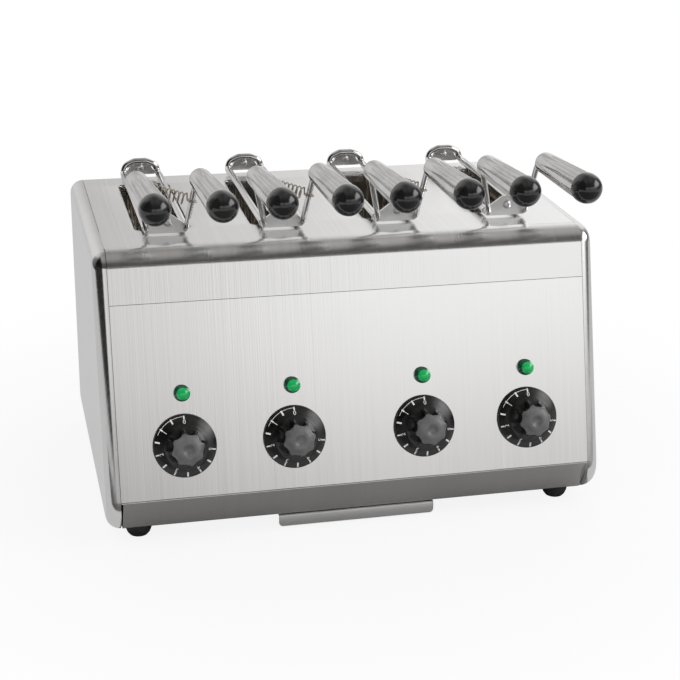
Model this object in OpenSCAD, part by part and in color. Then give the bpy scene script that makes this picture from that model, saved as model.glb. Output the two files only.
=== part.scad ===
// Four-slot tong toaster: folded steel casing, timer dials, pilot lamps,
// a crumb tray and four lift-out sandwich tongs.
// Units are millimetres. The origin is the middle of the footprint on the table.

/* [Casing] */
// Overall width over the side panels
casing_w = 370; // [330:1:420]
// Depth from the front bend line to the back panel
casing_d = 258; // [240:1:280]
// Height of the top plate above the table
casing_top = 209; // [195:1:230]
// Height of the underside above the table
foot_h = 12; // [8:0.5:18]
// Lean of the front panel from upright, degrees
front_lean = 15; // [8:0.5:20]
// Height of the undercut strip below the front bend line
kick_h = 27; // [20:0.5:34]
// Setback of the undercut strip at the underside
kick_d = 13; // [8:0.5:18]
// Sheet thickness
sheet = 1; // [0.8:0.1:1.5]
// Radius of the rolled rim round each side panel
rim_r = 10; // [6:0.5:12]
// Outside radius of the bend from the top to the front
top_bend_r = 14; // [13:0.5:20]
// Outside radius of the bend from the top to the back
back_bend_r = 13; // [12.5:0.5:20]
// Outside radius of the front panel's lower bend
kick_bend_r = 5; // [3:0.5:8]
// Length of the cover's turned-down front lip, measured straight down
cover_lip = 35; // [25:1:45]
// Length of the cover's turned-down back lip
cover_back = 30; // [20:1:45]
// Width of the front panel's return flange along the underside
flange_w = 8; // [6:0.5:9]
// Outside radius of the back panel's lower bend
back_foot_r = 13; // [10:0.5:14]
// Width of the back panel's return flange along the underside
back_flange = 22; // [18:0.5:26]
// Distance of the feet from the casing's ends
foot_in = 25; // [22:0.5:32]
// Diameter of a foot
foot_d = 23; // [18:0.5:26]

/* [Slots] */
// Distance from one slot centre to the next
slot_pitch = 85.5; // [80:0.5:90]
// Width of each slot
slot_w = 40; // [38:0.5:44]
// Length of each slot
slot_l = 127; // [120:1:135]
// Distance from the slots' back end to the back of the casing
slot_back = 32.45; // [30:0.05:40]

/* [Controls] */
// Distance of the inner dials from the middle
dial_x_in = 48.4; // [44:0.1:55]
// Distance of the outer dials from the middle
dial_x_out = 127.7; // [120:0.1:135]
// Height of the dials above the front bend line
dial_h = 36.3; // [32:0.1:42]
// Height of the lamps above the front bend line
lamp_h = 72.6; // [66:0.1:80]
// Diameter of a dial's skirt
skirt_d = 45.5; // [40:0.5:50]
// Depth of a dial's skirt
skirt_t = 7; // [5:0.5:9]
// Diameter of a dial's grip at the skirt
dial_grip_d = 27; // [24:0.5:32]
// Full depth of a dial
dial_t = 24; // [20:0.5:28]
// Gap between a dial and the panel
dial_gap = 0.8; // [0.5:0.1:1.5]
// Diameter of a timer shaft
shaft_d = 6; // [5:0.5:8]
// Width of a timer's case
timer_w = 44; // [38:1:50]
// Depth of a timer's case
timer_t = 34; // [28:1:40]
// Diameter of a lamp lens
lamp_d = 12; // [10:0.5:14]
// Depth of a lamp holder
holder_t = 18; // [14:0.5:22]

/* [Tongs] */
// Distance of each leg from its tong's middle
leg_x = 14; // [13:0.25:15]
// Diameter of the frame's hinge rods
frame_d = 3.4; // [3:0.1:3.8]
// Diameter of the frame's rear arch
arch_d = 4.6; // [4.2:0.1:5]
// Outside diameter of the jaw's hinge tube
tube_d = 5.6; // [5.4:0.1:6.4]
// Height of the leg's centre above the top plate
leg_z = 4.3; // [4:0.1:5]
// Front plate's place behind the front bend line
front_plate_y = 74; // [70:0.5:78]
// Rear arch's place behind the front bend line
arch_y = 245; // [240:0.5:249]
// Height of the arch's peak above the top plate
arch_z = 15.4; // [14:0.1:18]
// Radius of the front plate's round ear
ear_r = 6.5; // [5.5:0.25:8]
// Height of the ear's screw above the top plate
ear_z = 10; // [9:0.25:12]
// Diameter of the stem wire
stem_d = 4.2; // [3.6:0.1:5]
// Height of the grips above the top plate
grip_z = 45; // [40:0.5:50]
// Distance of each grip from its tong's middle
grip_x = 22.5; // [21:0.25:24]
// Back end of the grips behind the front bend line
grip_back = 69; // [65:0.5:70]
// Length of a grip
grip_l = 73; // [65:0.5:78]
// Turn of the grips to the right of straight ahead, degrees
grip_turn = 3.3; // [0:0.1:4]
// Diameter of a grip at its back end
grip_d_back = 18.5; // [16:0.25:20]
// Diameter of a grip at its front end
grip_d_front = 22; // [20:0.25:23]
// Diameter of the dome cap
cap_d = 23; // [21:0.25:24]
// Depth of the jaw grid below the top plate
grid_depth = 112; // [100:1:118]
// Distance of the grid's foot from the tong's middle
grid_x = 10; // [9.5:0.25:11]
// Diameter of the grid wires
grid_wire = 3; // [2:0.25:3.5]

/* [Springs] */
// Outside diameter of a tong spring
spring_d = 9.4; // [8:0.2:10]
// Diameter of the spring wire
spring_wire = 1.1; // [0.8:0.1:1.4]
// Number of curls in a spring
spring_turns = 10; // [8:1:12]
// Height of the spring's left end on its stem
spring_z_left = 40; // [34:0.5:42]
// Height of the spring's right end on its stem
spring_z_right = 26; // [22:0.5:34]

/* [Crumb tray] */
// Width of the tray
tray_w = 276; // [250:1:280]
// Width of the tab at the front
tab_w = 118; // [100:1:130]
// Radius of the tab's lower corners
tab_r = 3; // [1:0.5:4]
// Front of the tray's pan behind the front bend line
tray_front = 42; // [40:0.5:60]
// Back end of the tray behind the front bend line
tray_back = 214; // [205:1:216]
// Height of the tray's floor above the table
tray_z = 3; // [2.8:0.1:4]
// Height of the tray's walls
tray_wall = 7; // [5:0.5:7.5]

/* [Inside] */
// Space between a board and the middle of two slots
board_gap = 12.5; // [10:0.5:14]
// Height of a heating board
board_h = 125; // [110:1:128]
// Distance of the boards' top below the top plate
board_drop = 9; // [6:0.5:12]
// Distance of the ribbon's turns from the board's ends
ribbon_in = 10; // [8:0.5:14]
// Width of the heating ribbon
ribbon_w = 2.5; // [2:0.1:3]
// Thickness of the heating ribbon
ribbon_t = 0.3; // [0.2:0.05:0.4]
// Distance from one run of the ribbon to the next
ribbon_step = 14.5; // [12:0.5:14.5]
// Distance of the oven's end walls from the slots
wall_room = 10; // [8:0.5:10.5]
// Width of the terminal block
block_w = 40; // [30:1:50]
// Depth of the terminal block
block_t = 16; // [12:0.5:18]
// Distance of the cable gland from the casing's end
gland_in = 55; // [45:1:70]
// Height of the cable gland above the table
gland_z = 46; // [42:1:60]
// Length of the cable gland outside the back panel
gland_out = 12; // [10:0.5:16]
// Radius of the cable gland's flange
gland_r = 10; // [9:0.5:12]
// Radius of the cable gland's bore
gland_bore = 4.1; // [3:0.1:5]

/* [Fits] */
// Radial running clearance
run_fit = 0.05; // [0.02:0.01:0.1]
// Gap between pieces that move past each other
move_gap = 0.3; // [0.3:0.05:0.6]

/* [Hidden] */
$fn = 48;
lean_run = tan(front_lean);
bend_z = foot_h + kick_h;
corner_y = (casing_top - bend_z) * lean_run;
seam_x = casing_w / 2 - rim_r;
lip_z = casing_top - cover_lip;
lip_y = (lip_z - bend_z) * lean_run;
back_z = casing_top - cover_back;
slot_end = casing_d - slot_back;
slot_y = slot_end - slot_l;
front_wall = slot_y - wall_room;
rear_wall = slot_end + wall_room;
floor_z = foot_h + sheet;
board_off = slot_pitch / 2 - board_gap;
board_z = casing_top - board_drop - board_h;
dial_xs = [-dial_x_out, -dial_x_in, dial_x_in, dial_x_out];
slot_xs = [for (k = [-1.5:1:1.5]) k * slot_pitch];
grip_front = grip_back - grip_l;
cap_skirt = 3;
stem_foot = front_plate_y + 7;
stem_y = front_plate_y + 3;
cap_front = stem_y - (stem_y - grip_front + cap_skirt) * cos(grip_turn) - cap_d / 2;
gland_x = casing_w / 2 - gland_in;
block_x = gland_x - block_w;
screw_x = casing_w / 2 - 35;
y_mid = (cap_front + casing_d + gland_out) / 2;
foot_x = casing_w / 2 - foot_in;
foot_ys = [kick_d + 14, casing_d - 30];
runner_t = 1.2;
runner_z = tray_z - move_gap - runner_t;
runner_l = tray_back - tray_front;
vent_step = 30;
vent_w = 22;
vent_h = 5;
vent_z = 95;
vent_rise = 20;
bore_r = frame_d / 2 + run_fit;
bend_lap = 0.3;
bend_swell = 0.06;
wall_r = (bore_r + tube_d / 2) / 2;

steel = [0.78, 0.78, 0.77];
bright = [0.88, 0.88, 0.88];
black = [0.06, 0.06, 0.06];
dull = [0.55, 0.55, 0.54];

// Moves a piece from the front bend line's frame to the part's frame
module place() {
  translate([0, -y_mid, 0]) children();
}

// Turns a drawing of depth and height, extruded along its own Z, to run along X
module along_x() {
  multmatrix([[0, 0, 1, 0], [1, 0, 0, 0], [0, 1, 0, 0], [0, 0, 0, 1]]) children();
}

// Puts a piece on the leaning panel: its Z points out of the panel, its Y up it
module on_panel(x, h) {
  translate([x, h * lean_run, bend_z + h]) rotate([90 - front_lean, 0, 0]) children();
}

// Puts a tong's piece over its slot, with Z = 0 on the top plate
module on_slot(n) {
  translate([slot_xs[n - 1], 0, casing_top]) children();
}

function unit(v) = v / norm(v);
function right_of(v) = [v[1], -v[0]];
function turn(u, v) = acos(max(-1, min(1, u * v)));
function tangent(p, i, r) =
  r[i] * tan(turn(unit(p[i] - p[i - 1]), unit(p[i + 1] - p[i])) / 2);
function set_back(p, i, r) = (i == 0 || i == len(p) - 1) ? 0 : tangent(p, i, r);

// A folded sheet: outer points in order with the metal on their right, and bend radii
module folded(p, r, w) {
  along_x() translate([0, 0, -w / 2]) {
    for (i = [0:len(p) - 2]) {
      u = unit(p[i + 1] - p[i]);
      a = p[i] + u * set_back(p, i, r);
      b = p[i + 1] - u * set_back(p, i + 1, r);
      linear_extrude(w)
        polygon([a, b, b + right_of(u) * sheet, a + right_of(u) * sheet]);
    }
    for (i = [1:len(p) - 2]) {
      u = unit(p[i] - p[i - 1]);
      v = unit(p[i + 1] - p[i]);
      c = p[i] - u * tangent(p, i, r) + right_of(u) * r[i];
      start = atan2(-right_of(v)[1], -right_of(v)[0]);
      translate([c[0], c[1], 0]) rotate([0, 0, start])
        rotate_extrude(angle = turn(u, v)) translate([r[i] - sheet, 0]) square([sheet, w]);
    }
  }
}

// The same sheet as one outline, with each bend drawn as short flats
function bend_arc(p, i, r, out) =
  let (
    u = unit(p[i] - p[i - 1]),
    v = unit(p[i + 1] - p[i]),
    c = p[i] - u * tangent(p, i, r) + right_of(u) * r[i],
    s = atan2(-right_of(u)[1], -right_of(u)[0])
  )
  [for (k = [0:6]) c + out * [cos(s - turn(u, v) * k / 6), sin(s - turn(u, v) * k / 6)]];
function run_of(p, r, t) =
  let (n = len(p), u = unit(p[1] - p[0]), v = unit(p[n - 1] - p[n - 2]))
  concat(
    [p[0] + right_of(u) * t],
    [for (i = [1:n - 2]) each bend_arc(p, i, r, r[i] - t)],
    [p[n - 1] + right_of(v) * t]
  );
function backwards(p) = [for (i = [len(p) - 1:-1:0]) p[i]];
module folded_flats(p, r, w) {
  along_x() translate([0, 0, -w / 2])
    linear_extrude(w) polygon(concat(run_of(p, r, 0), backwards(run_of(p, r, sheet))));
}

// A wire through 3-D points with a bend radius at each inner point.
// The straights run a little way into bends that are a hair thicker.
module wire(p, r, d) {
  for (i = [0:len(p) - 2]) {
    u = unit(p[i + 1] - p[i]);
    a = p[i] + u * (i == 0 ? 0 : set_back(p, i, r) - bend_lap);
    b = p[i + 1] - u * (i == len(p) - 2 ? 0 : set_back(p, i + 1, r) - bend_lap);
    rod(a, b, d);
  }
  for (i = [1:len(p) - 2]) {
    u = unit(p[i] - p[i - 1]);
    v = unit(p[i + 1] - p[i]);
    f = turn(u, v);
    n = (v - u * (u * v)) / sin(f);
    c = p[i] - u * tangent(p, i, r) + n * r[i];
    k = cross(u, n);
    multmatrix([
      [-n[0], u[0], k[0], c[0]],
      [-n[1], u[1], k[1], c[1]],
      [-n[2], u[2], k[2], c[2]],
      [0, 0, 0, 1]
    ]) rotate_extrude(angle = f) translate([r[i], 0]) circle(d = d + bend_swell);
  }
}

// A straight round bar from one point to another
module rod(a, b, d) {
  v = b - a;
  translate(a) rotate([0, acos(v[2] / norm(v)), atan2(v[1], v[0])])
    cylinder(h = norm(v), d = d);
}

// The casing's outline from the side, shrunk by an inset, as rounded corners
corner = [
  [kick_d, foot_h], [0, bend_z], [corner_y, casing_top],
  [casing_d, casing_top], [casing_d, foot_h]
];
corner_r = [13, 14, top_bend_r, back_bend_r, back_foot_r];
arc_n = 7;
function corner_arc(i, inset) =
  let (
    p = corner[i],
    u = unit(p - corner[(i + 4) % 5]),
    v = unit(corner[(i + 1) % 5] - p),
    r = corner_r[i],
    c = p - u * r * tan(turn(u, v) / 2) + right_of(u) * r,
    s = atan2(-right_of(u)[1], -right_of(u)[0])
  )
  [for (k = [0:arc_n - 1])
    let (t = s - turn(u, v) * k / (arc_n - 1))
    c + (r - inset) * [cos(t), sin(t)]];
function outline(inset) = [for (i = [0:4]) each corner_arc(i, inset)];
ring_n = 5 * arc_n;
rim_n = 6;
function rim_ring(r, k) =
  let (t = 90 * k / (rim_n - 1))
  [for (q = outline(rim_r - r * sin(t))) [seam_x + r * cos(t), q[0], q[1]]];
rim_points = concat(
  [for (k = [0:rim_n - 1]) each rim_ring(rim_r, k)],
  [for (k = [rim_n - 1:-1:0]) each rim_ring(rim_r - sheet, k)]
);
rim_faces = concat(
  [[for (j = [0:ring_n - 1]) j]],
  [for (k = [0:2 * rim_n - 2], j = [0:ring_n - 1])
    [k * ring_n + j, (k + 1) * ring_n + j, k * ring_n + (j + 1) % ring_n]],
  [for (k = [0:2 * rim_n - 2], j = [0:ring_n - 1])
    [(k + 1) * ring_n + j, (k + 1) * ring_n + (j + 1) % ring_n, k * ring_n + (j + 1) % ring_n]],
  [[for (j = [ring_n - 1:-1:0]) (2 * rim_n - 1) * ring_n + j]]
);

module side_shell() {
  polyhedron(points = rim_points, faces = rim_faces, convexity = 6);
}

module right_side_panel() {
  color(steel) place() side_shell();
}

module left_side_panel() {
  color(steel) place() mirror([1, 0, 0]) side_shell();
}

module top_cover() {
  color(steel) place() difference() {
    folded(
      [[lip_y, lip_z], corner[2], corner[3], [casing_d, back_z]],
      [0, top_bend_r, back_bend_r, 0], 2 * seam_x
    );
    for (x = slot_xs)
      translate([x - slot_w / 2, slot_y, casing_top - 5]) cube([slot_w, slot_l, 10]);
  }
}

module front_panel() {
  color(steel) place() difference() {
    folded_flats(
      [[kick_d + flange_w, foot_h], corner[0], corner[1], [lip_y, lip_z]],
      [0, 3, kick_bend_r, 0], 2 * seam_x
    );
    for (x = dial_xs) {
      on_panel(x, dial_h) translate([0, 0, -5]) cylinder(h = 10, d = shaft_d + 2);
      on_panel(x, lamp_h) translate([0, 0, -5]) cylinder(h = 10, d = lamp_d - 3.6);
    }
  }
}

module back_panel() {
  color(steel) place() difference() {
    folded(
      [[casing_d, back_z], corner[4], [casing_d - back_flange, foot_h]],
      [0, back_foot_r, 0], 2 * seam_x
    );
    for (x = [-4:4], z = [0:2])
      translate([x * vent_step - vent_w / 2, casing_d - 5, vent_z + z * vent_rise])
        cube([vent_w, 10, vent_h]);
    translate([gland_x, casing_d - 5, gland_z]) rotate([-90, 0, 0]) cylinder(h = 10, r = gland_r - 2.9);
  }
}

module base_plate() {
  color(dull) place() difference() {
    translate([-seam_x, kick_d + 3, floor_z])
      cube([2 * seam_x, casing_d - back_foot_r - kick_d - 3, sheet]);
    translate([-tray_w / 2 + 8, front_wall + 4, floor_z - 2])
      cube([tray_w - 16, rear_wall - front_wall - 14, 6]);
  }
}

module tray_runners() {
  color(dull) place() for (s = [-1, 1]) {
    translate([s * (tray_w / 2 + move_gap + runner_t / 2) - runner_t / 2, tray_front + 3, runner_z])
      cube([runner_t, runner_l, floor_z - runner_z]);
    translate([s * (tray_w / 2 - 1.5) - 2.5, tray_front + 3, runner_z]) cube([5, runner_l, runner_t]);
  }
}

module feet() {
  color(black) place() for (s = [-1, 1], y = foot_ys) translate([s * foot_x, y, 0]) {
    cylinder(h = 3, d1 = foot_d - 3, d2 = foot_d);
    translate([0, 0, 3]) cylinder(h = foot_h - 3, d1 = foot_d, d2 = foot_d - 2);
    translate([0, 0, foot_h]) cylinder(h = sheet, d = 10);
  }
}

module front_bulkhead() {
  color(dull) place()
    translate([-seam_x + 1, front_wall, floor_z + sheet])
      cube([2 * seam_x - 2, sheet, casing_top - floor_z - 2 * sheet]);
}

module rear_bulkhead() {
  color(dull) place()
    translate([-seam_x + 1, rear_wall - sheet, floor_z + sheet])
      cube([2 * seam_x - 2, sheet, casing_top - floor_z - 2 * sheet]);
}

module mica_boards() {
  color([0.72, 0.66, 0.55]) place() for (x = slot_xs, s = [-1, 1])
    translate([x + s * (board_off + 0.5) - 0.5, front_wall + sheet, board_z])
      cube([1, rear_wall - front_wall - 2 * sheet, board_h]);
}

module heating_ribbons() {
  low = board_z + ribbon_in;
  tall = board_h - 2 * ribbon_in;
  run_y = [for (k = [-4:4]) (front_wall + rear_wall) / 2 + k * ribbon_step];
  color([0.42, 0.36, 0.32]) place() for (x = slot_xs, s = [-1, 1])
    translate([x + s * (board_off - ribbon_t / 2) - ribbon_t / 2, -ribbon_w / 2, 0]) {
      for (y = run_y) translate([0, y, low]) cube([ribbon_t, ribbon_w, tall]);
      for (k = [0:7]) translate([0, run_y[k], k % 2 == 0 ? low + tall - ribbon_w : low])
        cube([ribbon_t, ribbon_step + ribbon_w, ribbon_w]);
    }
}

module timers() {
  color([0.85, 0.84, 0.8]) place() for (x = dial_xs) on_panel(x, dial_h) difference() {
    translate([-timer_w / 2, -timer_w / 2, -sheet - timer_t]) cube([timer_w, timer_w, timer_t]);
    translate([0, 0, -sheet - 22]) cylinder(h = 40, r = shaft_d / 2 + run_fit);
  }
}

module timer_shaft(n) {
  color(bright) place() on_panel(dial_xs[n - 1], dial_h)
    translate([0, 0, -sheet - 21.5]) cylinder(h = sheet + 21.5 + 15, d = shaft_d);
}

module knob(n) {
  color(black) place() on_panel(dial_xs[n - 1], dial_h) difference() {
    union() {
      translate([0, 0, dial_gap]) cylinder(h = 2, d = skirt_d);
      translate([0, 0, dial_gap + 2])
        cylinder(h = skirt_t - 2, d1 = skirt_d, d2 = dial_grip_d + 4);
      difference() {
        translate([0, 0, skirt_t]) cylinder(h = dial_t - skirt_t, d = dial_grip_d);
        for (a = [0:45:315]) rotate([0, 0, a])
          translate([dial_grip_d / 2 + 2.4, 0, skirt_t + 2]) cylinder(h = dial_t, r = 4.2);
      }
    }
    cylinder(h = 15, r = shaft_d / 2 + run_fit);
    translate([0, 0, dial_t - 1.2]) cylinder(h = 5, d = dial_grip_d / 3);
  }
}

module lamp_lenses() {
  color([0.1, 0.6, 0.2]) place() for (x = dial_xs) on_panel(x, lamp_h) {
    translate([0, 0, -sheet]) cylinder(h = sheet, d = lamp_d - 4);
    cylinder(h = 2, d = lamp_d);
    translate([0, 0, 2]) intersection() {
      sphere(d = lamp_d);
      translate([0, 0, lamp_d / 2]) cube(lamp_d, center = true);
    }
  }
}

module lamp_holders() {
  color([0.9, 0.9, 0.86]) place() for (x = dial_xs) on_panel(x, lamp_h)
    translate([0, 0, -sheet - holder_t]) cylinder(h = holder_t, d = lamp_d + 2);
}

module cable_gland() {
  color(black) place() translate([gland_x, casing_d, gland_z]) rotate([-90, 0, 0]) difference() {
    union() {
      cylinder(h = 3, r = gland_r);
      translate([0, 0, 3]) cylinder(h = gland_out - 3, r1 = gland_r - 1.5, r2 = gland_r - 3);
      translate([0, 0, -sheet - 6]) cylinder(h = sheet + 6, r = gland_r - 3);
    }
    translate([0, 0, -sheet - 7]) cylinder(h = gland_out + sheet + 8, r = gland_bore);
  }
}

module terminal_block() {
  color([0.9, 0.9, 0.86]) place() difference() {
    translate([block_x - block_w / 2, casing_d - sheet - block_t, gland_z - block_w / 4])
      cube([block_w, block_t, block_w / 2]);
    for (k = [-1:1]) translate([block_x + k * block_w / 3, casing_d - sheet - block_t - 2, gland_z])
      rotate([-90, 0, 0]) cylinder(h = block_t / 2, d = block_w / 8);
  }
}

module casing_screws() {
  color(bright) place() for (x = [-screw_x, 0, screw_x], z = [foot_h + 18, back_z - 14])
    translate([x, casing_d, z]) rotate([-90, 0, 0]) difference() {
      cylinder(h = 2, d = 8);
      translate([-0.6, -3, 1.2]) cube([1.2, 6, 3]);
      translate([-3, -0.6, 1.2]) cube([6, 1.2, 3]);
    }
}

module crumb_tray() {
  pan_l = tray_back - tray_front;
  tab_h = foot_h - 0.5 - 2;
  color(steel) place() {
    translate([-tray_w / 2, tray_front, tray_z]) cube([tray_w, pan_l, sheet]);
    for (s = [-1, 1]) translate([s * (tray_w / 2 - sheet / 2) - sheet / 2, tray_front, tray_z])
      cube([sheet, pan_l, tray_wall]);
    for (y = [tray_front, tray_back - sheet])
      translate([-tray_w / 2, y, tray_z]) cube([tray_w, sheet, tray_wall]);
    translate([-tab_w / 2, kick_d + sheet / 2, tray_z])
      cube([tab_w, tray_front - kick_d, sheet]);
    translate([0, kick_d + sheet, 2]) rotate([90, 0, 0]) linear_extrude(sheet) {
      translate([-tab_w / 2, tab_r]) square([tab_w, tab_h - tab_r]);
      translate([-tab_w / 2 + tab_r, 0]) square([tab_w - 2 * tab_r, tab_h]);
      for (s = [-1, 1]) translate([s * (tab_w / 2 - tab_r), tab_r]) circle(r = tab_r);
    }
  }
}

module tong_frame(n) {
  plate_y = front_plate_y;
  plate_t = 2;
  boss_r = leg_z - 2 * move_gap;
  stop_y = arch_y - 8;
  roof = (arch_z - leg_z) / leg_x;
  color(bright) place() on_slot(n) {
    for (s = [-1, 1]) {
      rod([s * leg_x, plate_y + plate_t / 2, leg_z], [s * leg_x, stop_y + 2, leg_z], frame_d);
      translate([s * leg_x, plate_y + plate_t, leg_z]) rotate([90, 0, 0])
        cylinder(h = plate_t, r = boss_r);
    }
    wire(
      [
        [-leg_x, stop_y, leg_z], [-leg_x, arch_y, leg_z], [0, arch_y, arch_z],
        [leg_x, arch_y, leg_z], [leg_x, stop_y, leg_z]
      ],
      [0, 5, 5, 5, 0], arch_d
    );
    translate([0, plate_y + plate_t, 0]) rotate([90, 0, 0]) {
      linear_extrude(plate_t) polygon([
        [-leg_x, leg_z - boss_r], [leg_x, leg_z - boss_r], [leg_x + 1, leg_z + boss_r - 0.6],
        [ear_r - 1.8, ear_z + ear_r - 2.6], [1.8 - ear_r, ear_z + ear_r - 2.6],
        [-leg_x - 1, leg_z + boss_r - 0.6]
      ]);
      translate([0, ear_z, 0]) {
        cylinder(h = plate_t, r = ear_r);
        translate([0, 0, plate_t]) cylinder(h = 1.8, r = ear_r / 2);
      }
    }
    translate([0, arch_y + 0.75, 0]) rotate([90, 0, 0]) {
      linear_extrude(1.5) polygon([
        [2 - leg_x, leg_z - 1.5], [leg_x - 2, leg_z - 1.5], [leg_x - 2, leg_z + 2 * roof - 0.8],
        [2, arch_z - 2 * roof - 0.8], [-2, arch_z - 2 * roof - 0.8], [2 - leg_x, leg_z + 2 * roof - 0.8]
      ]);
      translate([0, (leg_z + arch_z) / 2 - 1.2, 1.5]) cylinder(h = 1.6, r = 2.6);
    }
  }
}

// Puts a piece on a grip's axis: its Z points out of the stem, towards the user
module on_grip(turn_by) {
  translate([-grip_x, stem_y, grip_z]) rotate([0, 0, turn_by]) rotate([90, 0, 0])
    translate([0, 0, stem_y - grip_back]) children();
}

// A jaw on the negative side of its tong: hinge tube, stem and hanging grid
module jaw(hooks, turn_by) {
  ys = [for (k = [0:4]) slot_y + 6 + k * (slot_l - 12) / 4];
  zs = [-22, -52, -82, -grid_depth];
  slope = (leg_x - 1 - grid_x) / (grid_depth + leg_z);
  lift = unit([leg_x - grip_x, stem_y - stem_foot, grip_z - leg_z]);
  reach = stem_y - grip_front - 9;
  difference() {
    translate([-leg_x, front_plate_y + 2 + move_gap, leg_z]) rotate([-90, 0, 0])
      cylinder(h = arch_y - 8 - front_plate_y - 2 - 2 * move_gap, d = tube_d);
    translate([-leg_x, front_plate_y, leg_z]) rotate([-90, 0, 0])
      cylinder(h = arch_y - front_plate_y, r = bore_r);
  }
  wire(
    [
      [-leg_x, stem_foot, leg_z] + lift * wall_r, [-grip_x, stem_y, grip_z],
      [-grip_x, stem_y, grip_z] + reach * [sin(turn_by), -cos(turn_by), 0]
    ],
    [0, 7.5, 0], stem_d
  );
  for (y = ys) rod(
    [-leg_x + 1, y, leg_z - wall_r], [-grid_x + slope * 3, y, -grid_depth - 3], grid_wire
  );
  for (z = zs) rod(
    [-grid_x - slope * (grid_depth + z), ys[0] - 3, z],
    [-grid_x - slope * (grid_depth + z), ys[4] + 3, z], grid_wire - 0.6
  );
  for (k = hooks)
    rod([-grid_x, ys[k], -grid_depth + 2], [-2, ys[k], -grid_depth + 2], grid_wire - 1);
}

module grip(turn_by) {
  on_grip(turn_by) difference() {
    cylinder(h = grip_l, d1 = grip_d_back, d2 = grip_d_front);
    translate([0, 0, -1]) cylinder(h = grip_l - 8, r = stem_d / 2 + run_fit);
    for (a = [0:45:315]) rotate([0, 0, a])
      translate([grip_d_back / 2 + 2.95, 0, -1]) cylinder(h = grip_l + 2, r = 3);
  }
}

module cap(turn_by) {
  on_grip(turn_by) translate([0, 0, grip_l]) {
    cylinder(h = cap_skirt, d = cap_d);
    translate([0, 0, cap_skirt]) intersection() {
      sphere(d = cap_d);
      translate([0, 0, cap_d / 2]) cube(cap_d + 2, center = true);
    }
  }
}

module tong_left_jaw(n) {
  color(bright) place() on_slot(n) jaw([0, 2, 4], grip_turn);
}

module tong_right_jaw(n) {
  color(bright) place() on_slot(n) mirror([1, 0, 0]) jaw([1, 3], -grip_turn);
}

module tong_left_grip(n) {
  color(bright) place() on_slot(n) grip(grip_turn);
}

module tong_right_grip(n) {
  color(bright) place() on_slot(n) mirror([1, 0, 0]) grip(-grip_turn);
}

module tong_left_cap(n) {
  color(black) place() on_slot(n) cap(grip_turn);
}

module tong_right_cap(n) {
  color(black) place() on_slot(n) mirror([1, 0, 0]) cap(-grip_turn);
}

// The spring: one wire wound from the left stem to the right one
function stem_at(z) =
  let (t = (z - leg_z) / (grip_z - leg_z)) [leg_x + (grip_x - leg_x) * t, stem_foot + (stem_y - stem_foot) * t, z];
spring_a = let (s = stem_at(spring_z_left)) [-s[0], s[1], s[2]];
spring_b = stem_at(spring_z_right);
spring_u = unit(spring_b - spring_a);
spring_side = unit(cross(spring_u, [0, 0, 1]));
spring_up = cross(spring_side, spring_u);
spring_skip = stem_d / 2 / sin(turn(spring_u, unit(stem_at(40) - stem_at(26)))) + 1.6;
spring_len = norm(spring_b - spring_a) - 2 * spring_skip - 2 * spring_wire;
coil_r = (spring_d - spring_wire) / 2;
ring_turn = 8;
coil_n = spring_turns * ring_turn;
function coil_at(k) =
  let (a = 360 * k / ring_turn)
  spring_a + spring_u * (spring_skip + spring_wire + spring_len * k / coil_n)
  + coil_r * (cos(a) * spring_up + sin(a) * spring_side);
spring_path = concat(
  [coil_at(0) - spring_u * spring_wire],
  [for (k = [0:coil_n]) coil_at(k)],
  [coil_at(coil_n) + spring_u * spring_wire]
);
path_n = len(spring_path);
function path_dir(i) =
  unit(spring_path[min(i + 1, path_n - 1)] - spring_path[max(i - 1, 0)]);
function path_axis(i) =
  let (k = min(max(i - 1, 0), coil_n), a = 360 * k / ring_turn)
  cos(a) * spring_up + sin(a) * spring_side;
function tube_ring(i) =
  let (d = path_dir(i), m = unit(path_axis(i) - d * (path_axis(i) * d)), q = cross(d, m))
  [for (j = [0:5]) spring_path[i] + spring_wire / 2 * (cos(60 * j) * m + sin(60 * j) * q)];
spring_points = [for (i = [0:path_n - 1]) each tube_ring(i)];
spring_faces = concat(
  [[for (j = [0:5]) j]],
  [for (i = [0:path_n - 2], j = [0:5])
    [i * 6 + j, (i + 1) * 6 + j, i * 6 + (j + 1) % 6]],
  [for (i = [0:path_n - 2], j = [0:5])
    [(i + 1) * 6 + j, (i + 1) * 6 + (j + 1) % 6, i * 6 + (j + 1) % 6]],
  [[for (j = [5:-1:0]) (path_n - 1) * 6 + j]]
);
spring_gap = min([for (i = [0:path_n - 7], j = [i + 6:path_n - 1])
  norm(spring_path[i] - spring_path[j]) - spring_wire]);
echo(least_gap_between_curls = spring_gap, curls = 4 * spring_turns);

module tong_spring(n) {
  color([0.6, 0.56, 0.5]) place() on_slot(n)
    polyhedron(points = spring_points, faces = spring_faces, convexity = 10);
}

top_cover();
front_panel();
left_side_panel();
right_side_panel();
back_panel();
base_plate();
tray_runners();
feet();
front_bulkhead();
rear_bulkhead();
mica_boards();
heating_ribbons();
timers();
lamp_lenses();
lamp_holders();
cable_gland();
terminal_block();
casing_screws();
crumb_tray();
knob(1);  // knob_1
knob(2);  // knob_2
knob(3);  // knob_3
knob(4);  // knob_4
timer_shaft(1);  // timer_shaft_1
timer_shaft(2);  // timer_shaft_2
timer_shaft(3);  // timer_shaft_3
timer_shaft(4);  // timer_shaft_4
tong_frame(1);  // tong_1_frame
tong_frame(2);  // tong_2_frame
tong_frame(3);  // tong_3_frame
tong_frame(4);  // tong_4_frame
tong_spring(1);  // tong_1_spring
tong_spring(2);  // tong_2_spring
tong_spring(3);  // tong_3_spring
tong_spring(4);  // tong_4_spring
tong_left_jaw(1);  // tong_1_left_jaw
tong_left_jaw(2);  // tong_2_left_jaw
tong_left_jaw(3);  // tong_3_left_jaw
tong_left_jaw(4);  // tong_4_left_jaw
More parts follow.
